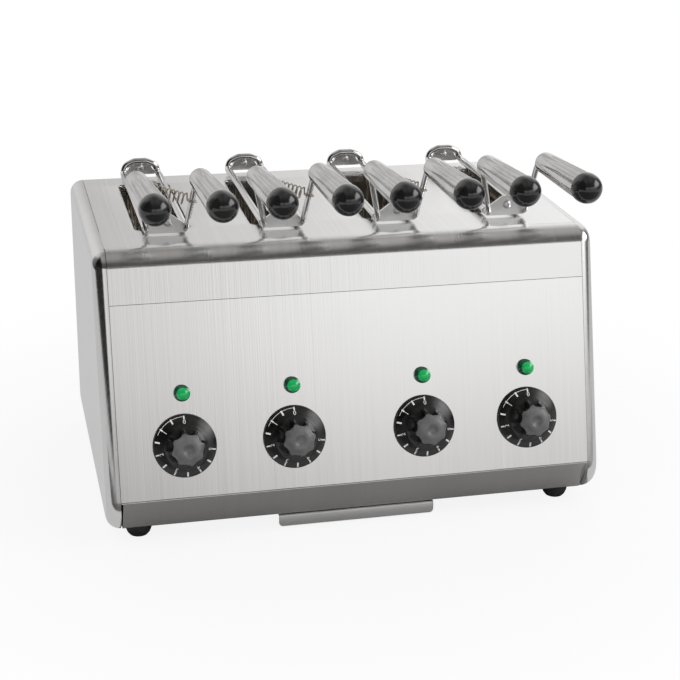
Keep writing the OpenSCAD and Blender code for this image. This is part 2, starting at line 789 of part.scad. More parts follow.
tong_right_jaw(1);  // tong_1_right_jaw
tong_right_jaw(2);  // tong_2_right_jaw
tong_right_jaw(3);  // tong_3_right_jaw
tong_right_jaw(4);  // tong_4_right_jaw
tong_left_grip(1);  // tong_1_left_grip
tong_left_grip(2);  // tong_2_left_grip
tong_left_grip(3);  // tong_3_left_grip
tong_left_grip(4);  // tong_4_left_grip
tong_right_grip(1);  // tong_1_right_grip
tong_right_grip(2);  // tong_2_right_grip
tong_right_grip(3);  // tong_3_right_grip
tong_right_grip(4);  // tong_4_right_grip
tong_left_cap(1);  // tong_1_left_cap
tong_left_cap(2);  // tong_2_left_cap
tong_left_cap(3);  // tong_3_left_cap
tong_left_cap(4);  // tong_4_left_cap
tong_right_cap(1);  // tong_1_right_cap
tong_right_cap(2);  // tong_2_right_cap
tong_right_cap(3);  // tong_3_right_cap
tong_right_cap(4);  // tong_4_right_cap
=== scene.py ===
import math

import bmesh
import bpy
from mathutils import Matrix, Vector


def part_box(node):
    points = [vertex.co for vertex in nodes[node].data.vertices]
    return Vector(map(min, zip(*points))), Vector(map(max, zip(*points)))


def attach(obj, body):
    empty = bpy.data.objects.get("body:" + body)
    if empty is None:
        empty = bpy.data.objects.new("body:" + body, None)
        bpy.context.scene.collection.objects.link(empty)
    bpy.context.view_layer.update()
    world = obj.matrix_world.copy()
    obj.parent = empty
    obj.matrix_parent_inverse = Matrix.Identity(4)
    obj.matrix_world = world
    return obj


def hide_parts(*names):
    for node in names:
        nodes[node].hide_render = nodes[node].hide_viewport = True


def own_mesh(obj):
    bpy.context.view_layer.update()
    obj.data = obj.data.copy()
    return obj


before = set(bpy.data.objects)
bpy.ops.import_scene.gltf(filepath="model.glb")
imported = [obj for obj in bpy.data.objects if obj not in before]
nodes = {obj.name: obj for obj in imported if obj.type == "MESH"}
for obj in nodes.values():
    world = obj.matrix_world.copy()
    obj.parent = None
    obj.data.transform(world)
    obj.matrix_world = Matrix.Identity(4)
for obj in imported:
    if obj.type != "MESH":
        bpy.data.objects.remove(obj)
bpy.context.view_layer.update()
scene = bpy.context.scene
scene.view_settings.view_transform = "Standard"

# sizes are in millimetres, with Y measured back from the front bend line
backY = 258
midY = backY - 1000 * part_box("back_panel")[1][1]
topZ = 209
baseZ = 12
bendZ = 39  # the fold between the front panel and the kick strip
slotX = [-128.25, -42.75, 42.75, 128.25]
dialX = [-127.7, -48.4, 48.4, 127.7]
lean = math.radians(15)
panelOut = Vector((0, -math.cos(lean), math.sin(lean)))
panelUp = Vector((0, math.sin(lean), math.cos(lean)))
skyward = Vector((0, 0, 1))
forward = Vector((0, -1, 0))


def at(x, y, z):
    return Vector((x, y - midY, z)) / 1000


def onPanel(x, height):
    return at(x, height * math.tan(lean), bendZ + height)


def rise(value, low, high):
    return max(0, min(1, (value - low) / (high - low)))


cameraView = {"place": (-259.0, -1010.6, 543.8), "yaw": 13.41, "pitch": 20.72, "roll": 0.80,
              "lens": 83.9, "sensor": 36}


def makeCamera(view):
    yaw, pitch, roll = (math.radians(view[k]) for k in ("yaw", "pitch", "roll"))
    ahead = Vector((math.sin(yaw) * math.cos(pitch), math.cos(yaw) * math.cos(pitch), -math.sin(pitch)))
    right = Vector((math.cos(yaw), -math.sin(yaw), 0))
    up = right.cross(ahead)
    tiltRight = right * math.cos(roll) + up * math.sin(roll)
    tiltUp = up * math.cos(roll) - right * math.sin(roll)
    data = bpy.data.cameras.new("photoCamera")
    data.sensor_width = view["sensor"]
    data.lens = view["lens"]
    data.clip_end = 20
    camera = bpy.data.objects.new("photoCamera", data)
    turn = Matrix((tiltRight, tiltUp, -ahead)).transposed().to_4x4()
    camera.matrix_world = Matrix.Translation(at(*view["place"])) @ turn
    scene.collection.objects.link(camera)
    scene.camera = camera


makeCamera(cameraView)
print("camera placed")


# shared shader effects

def addGroup(name, inputs, outputs):
    group = bpy.data.node_groups.new(name, "ShaderNodeTree")
    for label, kind, default in inputs:
        socket = group.interface.new_socket(name=label, in_out="INPUT", socket_type=kind)
        socket.default_value = default
    for label, kind in outputs:
        group.interface.new_socket(name=label, in_out="OUTPUT", socket_type=kind)
    start = group.nodes.new("NodeGroupInput")
    end = group.nodes.new("NodeGroupOutput")
    return group, start, end


def feed(tree, socket, value):
    if isinstance(value, bpy.types.NodeSocket):
        tree.links.new(value, socket)
    else:
        socket.default_value = value


def addMath(tree, operation, *values):
    node = tree.nodes.new("ShaderNodeMath")
    node.operation = operation
    for socket, value in zip(node.inputs, values):
        feed(tree, socket, value)
    return node.outputs[0]


def addBlend(tree, first, second, share):
    kept = addMath(tree, "MULTIPLY", first, share)
    return addMath(tree, "ADD", kept, addMath(tree, "MULTIPLY", second, 1 - share))


def addMix(tree, factor, first, second, way="MIX"):
    node = tree.nodes.new("ShaderNodeMix")
    node.data_type = "RGBA"
    node.blend_type = way
    for place, value in ((0, factor), (6, first), (7, second)):
        feed(tree, node.inputs[place], value)
    return node.outputs[2]


def addNoise(tree, vector, scale, detail):
    node = tree.nodes.new("ShaderNodeTexNoise")
    node.inputs["Detail"].default_value = detail
    feed(tree, node.inputs["Scale"], scale)
    feed(tree, node.inputs["Vector"], vector)
    return node.outputs["Fac"]


surfaceOutputs = [("Color", "NodeSocketColor"), ("Roughness", "NodeSocketFloat"),
                  ("Height", "NodeSocketFloat")]
brush = {"coarseScale": 0.22, "cloudScale": 14, "fineShare": 0.6, "streakShare": 0.75, "streakRough": 0.16,
         "cloudRough": 0.08}


def makeBrushGroup(size):
    # long fine scratches across one direction, with slow cloudy changes over the sheet
    group, start, end = addGroup(
        "brushedGrain",
        [("Vector", "NodeSocketVector", (0, 0, 0)), ("Grain", "NodeSocketVector", (900, 6, 6)),
         ("Light", "NodeSocketColor", (0.8, 0.8, 0.8, 1)), ("Dark", "NodeSocketColor", (0.6, 0.6, 0.6, 1)),
         ("Gloss", "NodeSocketFloat", 0.3)],
        surfaceOutputs)
    mapping = group.nodes.new("ShaderNodeVectorMath")
    mapping.operation = "MULTIPLY"
    group.links.new(start.outputs["Vector"], mapping.inputs[0])
    group.links.new(start.outputs["Grain"], mapping.inputs[1])
    fine = addNoise(group, mapping.outputs[0], 1.0, 4)
    coarse = addNoise(group, mapping.outputs[0], size["coarseScale"], 2)
    cloud = addNoise(group, start.outputs["Vector"], size["cloudScale"], 2)
    streak = addBlend(group, fine, coarse, size["fineShare"])
    tone = addBlend(group, streak, cloud, size["streakShare"])
    group.links.new(addMix(group, tone, start.outputs["Dark"], start.outputs["Light"]), end.inputs["Color"])
    rough = addMath(group, "MULTIPLY_ADD", streak, size["streakRough"], -size["streakRough"] / 2)
    patchy = addMath(group, "MULTIPLY", addMath(group, "SUBTRACT", cloud, 0.5), size["cloudRough"])
    rough = addMath(group, "ADD", rough, patchy)
    group.links.new(addMath(group, "ADD", rough, start.outputs["Gloss"]), end.inputs["Roughness"])
    group.links.new(streak, end.inputs["Height"])
    return group


wear = {"speckScale": 2600, "smearFrom": 0.35, "smearTo": 0.7, "smearMiddle": 0.4}


def makeWearGroup(size):
    # finger smears, dust specks and slow tone changes for polished and moulded pieces
    group, start, end = addGroup(
        "handling",
        [("Vector", "NodeSocketVector", (0, 0, 0)), ("Size", "NodeSocketFloat", 40.0),
         ("Base", "NodeSocketColor", (0.5, 0.5, 0.5, 1)), ("Worn", "NodeSocketColor", (0.6, 0.6, 0.6, 1)),
         ("Gloss", "NodeSocketFloat", 0.2), ("Spread", "NodeSocketFloat", 0.1)],
        surfaceOutputs)
    smear = addNoise(group, start.outputs["Vector"], start.outputs["Size"], 4)
    speck = addNoise(group, start.outputs["Vector"], size["speckScale"], 2)
    ramp = group.nodes.new("ShaderNodeMapRange")
    ramp.inputs["From Min"].default_value = size["smearFrom"]
    ramp.inputs["From Max"].default_value = size["smearTo"]
    group.links.new(smear, ramp.inputs["Value"])
    cover = ramp.outputs["Result"]
    group.links.new(addMix(group, cover, start.outputs["Base"], start.outputs["Worn"]), end.inputs["Color"])
    smeared = addMath(group, "SUBTRACT", cover, size["smearMiddle"])
    rough = addMath(group, "MULTIPLY", smeared, start.outputs["Spread"])
    group.links.new(addMath(group, "ADD", rough, start.outputs["Gloss"]), end.inputs["Roughness"])
    group.links.new(speck, end.inputs["Height"])
    return group


brushGroup = makeBrushGroup(brush)
wearGroup = makeWearGroup(wear)


def newMaterial(name, group, values, bump, plain):
    material = bpy.data.materials.new(name)
    material.use_nodes = True
    tree = material.node_tree
    shader = tree.nodes["Principled BSDF"]
    for label, value in plain.items():
        shader.inputs[label].default_value = value
    place = tree.nodes.new("ShaderNodeTexCoord")
    effect = tree.nodes.new("ShaderNodeGroup")
    effect.node_tree = group
    tree.links.new(place.outputs["Object"], effect.inputs["Vector"])
    for label, value in values.items():
        effect.inputs[label].default_value = value
    tree.links.new(effect.outputs["Color"], shader.inputs["Base Color"])
    tree.links.new(effect.outputs["Roughness"], shader.inputs["Roughness"])
    if bump:
        relief = tree.nodes.new("ShaderNodeBump")
        relief.inputs["Strength"].default_value = bump[0]
        relief.inputs["Distance"].default_value = bump[1]
        tree.links.new(effect.outputs["Height"], relief.inputs["Height"])
        tree.links.new(relief.outputs["Normal"], shader.inputs["Normal"])
    return material


metal = {"Metallic": 1.0}
fineDepth = 0.0002  # metres of relief, as the bump node takes it
roughDepth = 0.0003
steelTones = ((0.99, 0.989, 0.987), (0.78, 0.779, 0.777))
# the side panels take darker tones than the front: painted shade on the same brushed steel
shadedSideTones = ((0.9, 0.899, 0.897), (0.7, 0.699, 0.697))
innerTones = ((0.5, 0.49, 0.48), (0.34, 0.33, 0.32))


def brushedSteel(name, tones, grain, gloss, strength):
    light, dark = tones
    values = {"Light": (*light, 1), "Dark": (*dark, 1), "Grain": grain, "Gloss": gloss}
    return newMaterial(name, brushGroup, values, (strength, fineDepth), metal)


def handled(name, base, worn, gloss, spread, size, bump=None, plain=None):
    values = {"Base": (*base, 1), "Worn": (*worn, 1), "Gloss": gloss, "Spread": spread, "Size": size}
    return newMaterial(name, wearGroup, values, bump, plain or {})


def grey(tone):
    return (tone, tone, tone)


frontSteel = brushedSteel("brushedFrontSteel", steelTones, (1100, 7, 7), 0.14, 0.3)
coverSteel = brushedSteel("brushedCoverSteel", steelTones, (1100, 7, 7), 0.18, 0.55)
traySteel = brushedSteel("brushedTraySteel", steelTones, (9, 9, 900), 0.42, 0.12)
shadedSideSteel = brushedSteel("brushedShadedSideSteel", shadedSideTones, (7, 1100, 7), 0.15, 0.2)
innerSteel = brushedSteel("dullInnerSteel", innerTones, (500, 20, 20), 0.48, 0.1)
plateSteel = brushedSteel("satinPlateSteel", steelTones, (40, 40, 900), 0.33, 0.1)
chrome = handled("polishedChrome", grey(0.82), (0.74, 0.735, 0.73), 0.09, 0.1, 60, None, metal)
# the grips' chrome has a darker base than the rest: painted shade, besides its own slightly rougher satin
# finish
shadedGripChrome = handled("satinShadedGripChrome", grey(0.66), (0.58, 0.576, 0.57), 0.12, 0.12, 60, None, metal)
wireSteel = handled("springSteel", (0.62, 0.57, 0.5), (0.42, 0.36, 0.3), 0.22, 0.15, 200, None, metal)
capBlack = handled("glossyBlackCap", (0.008, 0.008, 0.009), grey(0.014), 0.1, 0.08, 90, None,
                   {"Coat Weight": 0.5, "Coat Roughness": 0.1, "Specular IOR Level": 0.6})
dialBlack = handled("glossyBlackDial", grey(0.003), grey(0.007), 0.31, 0.12, 120, (0.05, fineDepth),
                    {"Specular IOR Level": 0.75})
# the dial's top is lighter grey than its black skirt: a painted sheen on a rougher satin top
sheenDialTop = handled("satinDialTopPaintedSheen", (0.085, 0.085, 0.087), grey(0.125), 0.45, 0.15, 160, (0.08, fineDepth),
                  {"Specular IOR Level": 1.0})
paintAndGlintWhite = handled("dialPaintAndGlint", (0.82, 0.82, 0.8), (0.62, 0.62, 0.6), 0.5, 0.1, 300)
rubber = handled("blackRubber", grey(0.012), grey(0.03), 0.7, 0.2, 150, (0.2, roughDepth))
mica = handled("micaBoard", (0.55, 0.47, 0.36), (0.38, 0.31, 0.23), 0.6, 0.2, 60, (0.15, roughDepth))
ribbon = handled("heatingRibbon", (0.24, 0.19, 0.16), (0.13, 0.1, 0.09), 0.5, 0.2, 120, None, metal)
ceramic = handled("whiteMoulding", (0.72, 0.71, 0.66), (0.6, 0.58, 0.53), 0.45, 0.2, 90, (0.08, fineDepth))
lensGreen = handled("greenLens", (0.0, 0.36, 0.09), (0.01, 0.26, 0.07), 0.12, 0.05, 500, None,
                    {"Coat Weight": 0.8, "Coat Roughness": 0.05, "Emission Color": (0.0, 0.35, 0.08, 1),
                     "Emission Strength": 0.2, "IOR": 1.5})
# the darker ring round each lens is painted shade at its rim
shadedLensRim = handled("greenLensRimPaintedShade", (0.0, 0.06, 0.02), (0.0, 0.11, 0.04), 0.15, 0.05, 400, None,
                   {"Coat Weight": 0.6, "Coat Roughness": 0.08, "IOR": 1.5})
print("materials made")


# mesh helpers

def soften(bm, geom, width, segments, affect="EDGES"):
    bmesh.ops.bevel(bm, geom=geom, offset=width / 1000, offset_type="OFFSET", segments=segments, profile=0.5,
                    affect=affect, material=-1)


def roundCorner(bm, vert, before, after, radius, segments):
    soften(bm, [vert], radius * math.tan(before.angle(after) / 2), segments, "VERTICES")


def newPart(geom, kind):
    return [g for g in geom if isinstance(g, kind)]


def largest(faces):
    return max(faces, key=lambda f: f.calc_area())


def pushRing(bm, edges, vector):
    grown = bmesh.ops.extrude_edge_only(bm, edges=edges)["geom"]
    verts = newPart(grown, bmesh.types.BMVert)
    bmesh.ops.translate(bm, verts=verts, vec=vector)
    fresh = set(verts)
    return [e for e in newPart(grown, bmesh.types.BMEdge) if e.verts[0] in fresh and e.verts[1] in fresh]


def startRing(bm, centre, ahead, radius, sides):
    turn = ahead.to_track_quat("Z", "Y").to_matrix().to_4x4()
    verts = bmesh.ops.create_circle(bm, cap_ends=True, segments=sides, radius=radius / 1000,
                                    matrix=Matrix.Translation(centre) @ turn)["verts"]
    return list({e for v in verts for e in v.link_edges})


def runWire(bm, path, bends, radius, sides, steps=8):
    # pushes a ring along straights and spins it round each bend
    ring = startRing(bm, path[0], (path[1] - path[0]).normalized(), radius, sides)
    place = path[0]
    for i in range(1, len(path)):
        ahead = (path[i] - path[i - 1]).normalized()
        last = i == len(path) - 1
        after = ahead if last else (path[i + 1] - path[i]).normalized()
        turn = 0 if last else ahead.angle(after)
        back = 0 if last else bends[i] / 1000 * math.tan(turn / 2)
        stop = path[i] - ahead * back
        if (stop - place).length > 1e-7:
            ring = pushRing(bm, ring, stop - place)
        if not last:
            inward = (after - ahead * ahead.dot(after)).normalized()
            spun = bmesh.ops.spin(bm, geom=ring, cent=stop + inward * bends[i] / 1000,
                                  axis=ahead.cross(after).normalized(), dvec=(0, 0, 0), angle=turn,
                                  steps=steps, use_merge=False)["geom_last"]
            ring = newPart(spun, bmesh.types.BMEdge)
            place = path[i] + after * back
    bmesh.ops.contextual_create(bm, geom=ring)


def lathe(bm, profile, centre, axis, steps):
    # spins a line of (radius, height) points about an axis
    side = axis.orthogonal().normalized()
    verts = [bm.verts.new(centre + side * r / 1000 + axis * h / 1000) for r, h in profile]
    edges = [bm.edges.new(pair) for pair in zip(verts, verts[1:])]
    bmesh.ops.spin(bm, geom=verts + edges, cent=centre, axis=axis, dvec=(0, 0, 0), angle=math.tau,
                   steps=steps, use_merge=True)
    bmesh.ops.remove_doubles(bm, verts=bm.verts[:], dist=1e-6)


def finishPiece(bm, name, body, material, replaces=(), sharp=32, thickness=None, edge=None,
                outward=True, second=None):
    if outward:
        bmesh.ops.recalc_face_normals(bm, faces=bm.faces[:])
    mesh = bpy.data.meshes.new(name)
    bm.to_mesh(mesh)
    bm.free()
    for face in mesh.polygons:
        face.use_smooth = True
    mesh.set_sharp_from_angle(angle=math.radians(sharp))
    mesh.materials.append(material)
    if second:
        mesh.materials.append(second)
    piece = bpy.data.objects.new(name, mesh)
    scene.collection.objects.link(piece)
    if thickness:
        wall = piece.modifiers.new("wall", "SOLIDIFY")
        wall.thickness = thickness / 1000
        wall.offset = -1
    if edge:
        soft = piece.modifiers.new("edge", "BEVEL")
        soft.width = edge / 1000
        soft.segments = 3
        soft.limit_method = "ANGLE"
        soft.angle_limit = math.radians(40)
        soft.harden_normals = True
    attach(piece, body)
    if replaces:
        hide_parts(*replaces)
    return piece


def faceUp(bm, towards):
    # turns an open sheet so that its outside faces the given way
    total = sum((f.normal * f.calc_area() for f in bm.faces), Vector())
    if total.dot(towards) < 0:
        bmesh.ops.reverse_faces(bm, faces=bm.faces[:])


# folded casing

def foldedSheet(points, bends, width):
    bm = bmesh.new()
    places = [at(-width / 2, y, z) for y, z in points]
    verts = [bm.verts.new(p) for p in places]
    for pair in zip(verts, verts[1:]):
        bm.edges.new(pair)
    for i in range(1, len(places) - 1):
        before, after = places[i] - places[i - 1], places[i + 1] - places[i]
        roundCorner(bm, verts[i], before, after, bends[i - 1], segments=12)
    grown = bmesh.ops.extrude_edge_only(bm, edges=bm.edges[:])["geom"]
    bmesh.ops.translate(bm, verts=newPart(grown, bmesh.types.BMVert), vec=(width / 1000, 0, 0))
    return bm


def cutSheet(bm, spot, normal):
    # the small distance keeps a cut that is made twice from leaving slivers
    bmesh.ops.bisect_plane(bm, geom=bm.verts[:] + bm.edges[:] + bm.faces[:], dist=1e-6, plane_co=spot,
                           plane_no=normal)


# the cuts beside each bend keep the flats shaded flat, and shoulderTurn is in radians
casing = {"width": 349.4, "sheet": 0.9, "edge": 0.25, "seam": 0.3, "seamBack": 0.08,
          "lipY": 36.17, "lipZ": 174, "cornerY": 45.55, "backZ": 179.1, "topBend": 14, "backBend": 13,
          "slotHalf": 20, "slotFrom": 98.55, "slotTo": 225.55, "slotRim": 7, "slotCorner": 4,
          "slotShoulder": 1.5, "shoulderTurn": 1, "flatCutsY": (57, 244.3), "flatCutsZ": (197.9, 195.3),
          "kick": [(21, baseZ), (13, baseZ), (0, bendZ)], "kickBends": [3, 0.4], "kickCutsZ": (39.8, 38.4),
          "kickTop": 38.5, "kickGap": (1.3, 0.2),
          "holes": [(36.3, 4.0), (72.6, 4.1)], "holeSquare": 8, "holeCuts": 7}


def makeCover(size):
    points = [(size["lipY"], size["lipZ"]), (size["cornerY"], topZ), (backY, topZ), (backY, size["backZ"])]
    bm = foldedSheet(points, [size["topBend"], size["backBend"]], size["width"])
    bm.normal_update()
    faceUp(bm, skyward)
    for x in slotX:
        for way in (-1, 1):
            cutSheet(bm, at(x + way * size["slotHalf"], 0, 0), (1, 0, 0))
    for y in (size["slotFrom"], size["slotTo"]) + size["flatCutsY"]:
        cutSheet(bm, at(0, y, 0), (0, 1, 0))
    for z in size["flatCutsZ"]:
        cutSheet(bm, at(0, 0, z), (0, 0, 1))
    gone = []
    for face in bm.faces:
        middle = face.calc_center_median() * 1000 + Vector((0, midY, 0))
        inRow = size["slotFrom"] < middle.y < size["slotTo"] and middle.z > topZ - 1
        if inRow and any(abs(middle.x - x) < size["slotHalf"] for x in slotX):
            gone.append(face)
    rims = {e for f in gone for e in f.edges}
    bmesh.ops.delete(bm, geom=gone, context="FACES_ONLY")
    rims = [e for e in rims if e.is_valid and len(e.link_faces) == 1]
    before = set(bm.edges)
    pushRing(bm, rims, (0, 0, -size["slotRim"] / 1000))
    halfRim = size["slotRim"] / 2000
    corners = [e for e in bm.edges if e not in before and abs(e.verts[0].co.z - e.verts[1].co.z) > halfRim]
    soften(bm, corners, size["slotCorner"], segments=5)
    shoulders = [e for e in bm.edges if len(e.link_faces) == 2 and e.calc_face_angle(0) > size["shoulderTurn"]
                 and all(abs(v.co.z - topZ / 1000) < 1e-6 for v in e.verts)]
    soften(bm, shoulders, size["slotShoulder"], segments=4)
    finishPiece(bm, "topCover", "casing", coverSteel, ["top_cover"], thickness=size["sheet"],
                edge=size["edge"], outward=False)


def cutHole(bm, centre, radius, half, cuts):
    # frees a square round the hole, then draws a ring in from its rim to the circle
    for way in (-half / 1000, half / 1000):
        cutSheet(bm, centre + Vector((way, 0, 0)), (1, 0, 0))
        cutSheet(bm, centre + panelUp * way, panelUp)
    square = min(bm.faces, key=lambda f: (f.calc_center_median() - centre).length)
    rim = list(square.edges)
    bmesh.ops.delete(bm, geom=[square], context="FACES_ONLY")
    bmesh.ops.subdivide_edges(bm, edges=rim, cuts=cuts)
    near = half * 1.5 / 1000  # a little past the corners of the square
    rim = [e for e in bm.edges if len(e.link_faces) == 1
           and all((v.co - centre).length < near for v in e.verts)]
    ring = pushRing(bm, rim, (0, 0, 0))
    for vert in {v for e in ring for v in e.verts}:
        vert.co = centre + (vert.co - centre).normalized() * radius / 1000


def makeFront(size):
    seam = (size["lipY"] - size["seamBack"], size["lipZ"] - size["seam"])
    bm = foldedSheet(size["kick"] + [seam], size["kickBends"], size["width"])
    for z in size["kickCutsZ"]:
        cutSheet(bm, at(0, 0, z), (0, 0, 1))
    leftGap, rightGap = size["kickGap"]
    for vert in bm.verts:
        if vert.co.z * 1000 < size["kickTop"]:
            vert.co.x += leftGap / 1000 if vert.co.x < 0 else -rightGap / 1000
    for height, radius in size["holes"]:
        for x in dialX:
            cutHole(bm, onPanel(x, height), radius, size["holeSquare"], size["holeCuts"])
    bm.normal_update()
    faceUp(bm, forward)
    finishPiece(bm, "frontPanel", "casing", frontSteel, ["front_panel"], thickness=size["sheet"],
                edge=size["edge"], outward=False)


sidePan = {"seamX": 175, "rim": 10, "rimFlat": 0.02, "inset": 0.6,
           "corners": [((-7.23, baseZ), 22), ((casing["cornerY"], topZ), casing["topBend"]),
                       ((backY, topZ), casing["backBend"]), ((backY, baseZ), 13)]}


def makeSide(size, sign, name, node):
    bm = bmesh.new()
    seamX = sign * size["seamX"]
    points = [Vector(p) for p, r in size["corners"]]
    verts = [bm.verts.new(at(seamX, *p)) for p in points]
    bm.faces.new(verts)
    for i, vert in enumerate(verts):
        after = points[(i + 1) % len(points)] - points[i]
        roundCorner(bm, vert, points[i] - points[i - 1], after, size["corners"][i][1], segments=10)
    seamFace = bm.faces[:][0]
    grown = bmesh.ops.extrude_face_region(bm, geom=[seamFace])["geom"]
    bmesh.ops.translate(bm, verts=newPart(grown, bmesh.types.BMVert), vec=(sign * size["rim"] / 1000, 0, 0))
    rolled = list(newPart(grown, bmesh.types.BMFace)[0].edges)
    # only the corner before the kick strip keeps its inner wall
    kickLow, kickHigh = (at(seamX, *p) for p in casing["kick"][1:])
    slant = kickHigh - kickLow
    flat = [seamFace] + list(seamFace.edges) + list(seamFace.verts)
    bmesh.ops.bisect_plane(bm, geom=flat, plane_co=kickLow, plane_no=(0, slant.z, -slant.y))
    seamFaces = [f for f in bm.faces if all(abs(v.co.x * 1000 - seamX) < 0.01 for v in f.verts)]
    bmesh.ops.delete(bm, geom=[largest(seamFaces)], context="FACES_ONLY")
    soften(bm, rolled, size["rim"] - size["rimFlat"], segments=10)
    bmesh.ops.remove_doubles(bm, verts=bm.verts[:], dist=1e-6)
    bm.normal_update()
    bmesh.ops.recalc_face_normals(bm, faces=bm.faces[:])
    faceUp(bm, Vector((sign, 0, 0)))
    bmesh.ops.inset_region(bm, faces=[largest(bm.faces)], thickness=size["inset"] / 1000)
    finishPiece(bm, name, "casing", shadedSideSteel, [node], sharp=40, thickness=casing["sheet"],
                outward=False)


makeCover(casing)
makeFront(casing)
makeSide(sidePan, -1, "leftSidePanel", "left_side_panel")
makeSide(sidePan, 1, "rightSidePanel", "right_side_panel")
print("casing folded")

# solids that keep their CAD shape get their finish
finishes = {"back_panel": frontSteel, "base_plate": innerSteel, "tray_runners": innerSteel,
            "front_bulkhead": innerSteel, "rear_bulkhead": innerSteel, "mica_boards": mica,
            "heating_ribbons": ribbon, "timers": ceramic, "lamp_holders": ceramic, "cable_gland": rubber,
            "terminal_block": ceramic, "casing_screws": chrome}
finishes.update({f"timer_shaft_{n}": chrome for n in range(1, 5)})
for node, material in finishes.items():
    nodes[node].data.materials.clear()
    nodes[node].data.materials.append(material)

# feet
foot = {"places": [(-160.5, 28), (160.5, 28), (-160.5, 228), (160.5, 228)],
        "profile": [(0, 0), (5.6, 0), (6.8, 0.6), (8.4, 2.6), (9.5, 5.6), (9.9, 10.9), (9.6, 11.7),
                    (5, 11.9), (5, 12.9), (0, 12.9)]}


def makeFeet(size):
    bm = bmesh.new()
    for x, y in size["places"]:
        lathe(bm, size["profile"], at(x, y, 0), skyward, steps=40)
    finishPiece(bm, "rubberFeet", "casing", rubber, ["feet"])


# crumb tray: a shallow pan under the oven, with a neck and a turned-down tab at the front
tray = {"half": 137.9, "front": 42.1, "back": 213.9, "floor": 3.1, "wall": 6.8, "neckBack": 6,
        "tabHalf": 58.9, "tabY": 13.05, "tabLow": 2.1, "tabHigh": 11.1, "corner": 3, "fold": 1.2,
        "sheet": 0.8, "edge": 0.15}


def makeTray(size):
    bm = bmesh.new()
    pan = bmesh.ops.create_grid(bm, x_segments=1, y_segments=1, size=0.5)["verts"]
    bmesh.ops.scale(bm, verts=pan, vec=(2 * size["half"] / 1000, (size["back"] - size["front"]) / 1000, 1))
    bmesh.ops.translate(bm, verts=pan, vec=at(0, (size["back"] + size["front"]) / 2, size["floor"]))
    pushRing(bm, bm.edges[:], (0, 0, size["wall"] / 1000))
    neckY = size["front"] + size["neckBack"]
    ends = [at(x, neckY, size["tabHigh"]) for x in (-size["tabHalf"], size["tabHalf"])]
    neck = bm.edges.new([bm.verts.new(p) for p in ends])
    fold = pushRing(bm, [neck], (0, (size["tabY"] - neckY) / 1000, 0))
    drop = pushRing(bm, fold, (0, 0, (size["tabLow"] - size["tabHigh"]) / 1000))
    soften(bm, list(drop[0].verts), size["corner"], segments=6, affect="VERTICES")
    soften(bm, fold, size["fold"], segments=4)
    finishPiece(bm, "crumbTray", "crumb_tray", traySteel, ["crumb_tray"], thickness=size["sheet"],
                edge=size["edge"])


makeFeet(foot)
makeTray(tray)
print("feet and tray made")


# dials and lamps
dial = {"height": 36.3, "lobes": 8, "scoopRadius": 4.2, "scoopPlace": 13.9, "scoopFrom": 7.5,
        "scoopFull": 9.0, "domeFrom": 17.5, "domeFull": 20.5, "domeFade": 0.6, "hub": 6, "topFrom": 19.2,
        "profile": [(0, 1.2), (20, 1.0), (22.3, 0.9), (22.6, 1.3), (22.6, 2.4), (22.2, 2.9), (17.2, 5.4),
                    (15.6, 6.0), (14.9, 6.6), (14.3, 7.6), (13.4, 8.4), (13.0, 9.0), (12.7, 11), (12.3, 15),
                    (12.0, 18.2), (11.7, 19.2), (11.2, 20.1), (10.3, 21.1), (8.8, 22.3), (7, 23.2),
                    (4.8, 23.6), (4.0, 23.4), (3.0, 22.7), (1.8, 22.2), (0, 22.1)]}


def makeDial(n, size):
    centre = onPanel(dialX[n - 1], size["height"])
    bm = bmesh.new()
    lathe(bm, size["profile"], centre, panelOut, steps=192)
    pitch = math.tau / size["lobes"]
    for vert in bm.verts:
        offset = vert.co - centre
        height = offset.dot(panelOut) * 1000
        flat = offset - panelOut * offset.dot(panelOut)
        if height < size["scoopFrom"] or flat.length * 1000 < size["hub"]:
            continue
        # scoops round the grip leave rounded lobes between them
        angle = math.atan2(flat.dot(panelUp), flat.x) + pitch / 4
        aside = (angle + pitch / 2) % pitch - pitch / 2
        reach = size["scoopRadius"] ** 2 - (size["scoopPlace"] * math.sin(aside)) ** 2
        if reach <= 0:
            continue
        limit = (size["scoopPlace"] * math.cos(aside) - math.sqrt(reach)) / 1000
        if flat.length > limit:
            # full depth along the grip, shallower over the domed top
            depth = rise(height, size["scoopFrom"], size["scoopFull"])
            depth *= 1 - size["domeFade"] * rise(height, size["domeFrom"], size["domeFull"])
            vert.co -= flat.normalized() * (flat.length - limit) * depth
    for face in bm.faces:
        offset = face.calc_center_median() - centre
        face.material_index = offset.dot(panelOut) * 1000 > size["topFrom"]
    finishPiece(bm, f"dial_{n}", f"dial_{n}", dialBlack, [f"knob_{n}"], sharp=40, second=sheenDialTop)


marks = {"figures": {"0": 0, "1": 52, "2": 104, "3": 156, "4": 208, "5": 260},
         "halves": [26, 78, 130, 182, 234], "figureSize": 4.4, "figureRadius": 17.7, "figureDeep": 0.04,
         "tick": (1.0, 2.6), "halfTick": (1.2, 3.8), "tickRadius": 22.0, "tickDeep": 0.08,
         "glintRadius": 21.4, "glintWide": 0.3, "glintFrom": 2, "glintSweep": 62,
         "skirtRadius": 22.2, "skirtHeight": 2.9, "skirtSlope": 0.5, "lift": 0.05}


def textMesh(word, size):
    data = bpy.data.curves.new("dialFigure", "FONT")
    data.body = word
    data.size = size["figureSize"] / 1000
    data.align_x = "CENTER"
    data.align_y = "CENTER"
    data.extrude = size["figureDeep"] / 1000
    holder = bpy.data.objects.new("dialFigure", data)
    scene.collection.objects.link(holder)
    bpy.context.view_layer.update()
    mesh = bpy.data.meshes.new_from_object(holder.evaluated_get(bpy.context.evaluated_depsgraph_get()))
    bpy.data.objects.remove(holder)
    bpy.data.curves.remove(data)
    return mesh


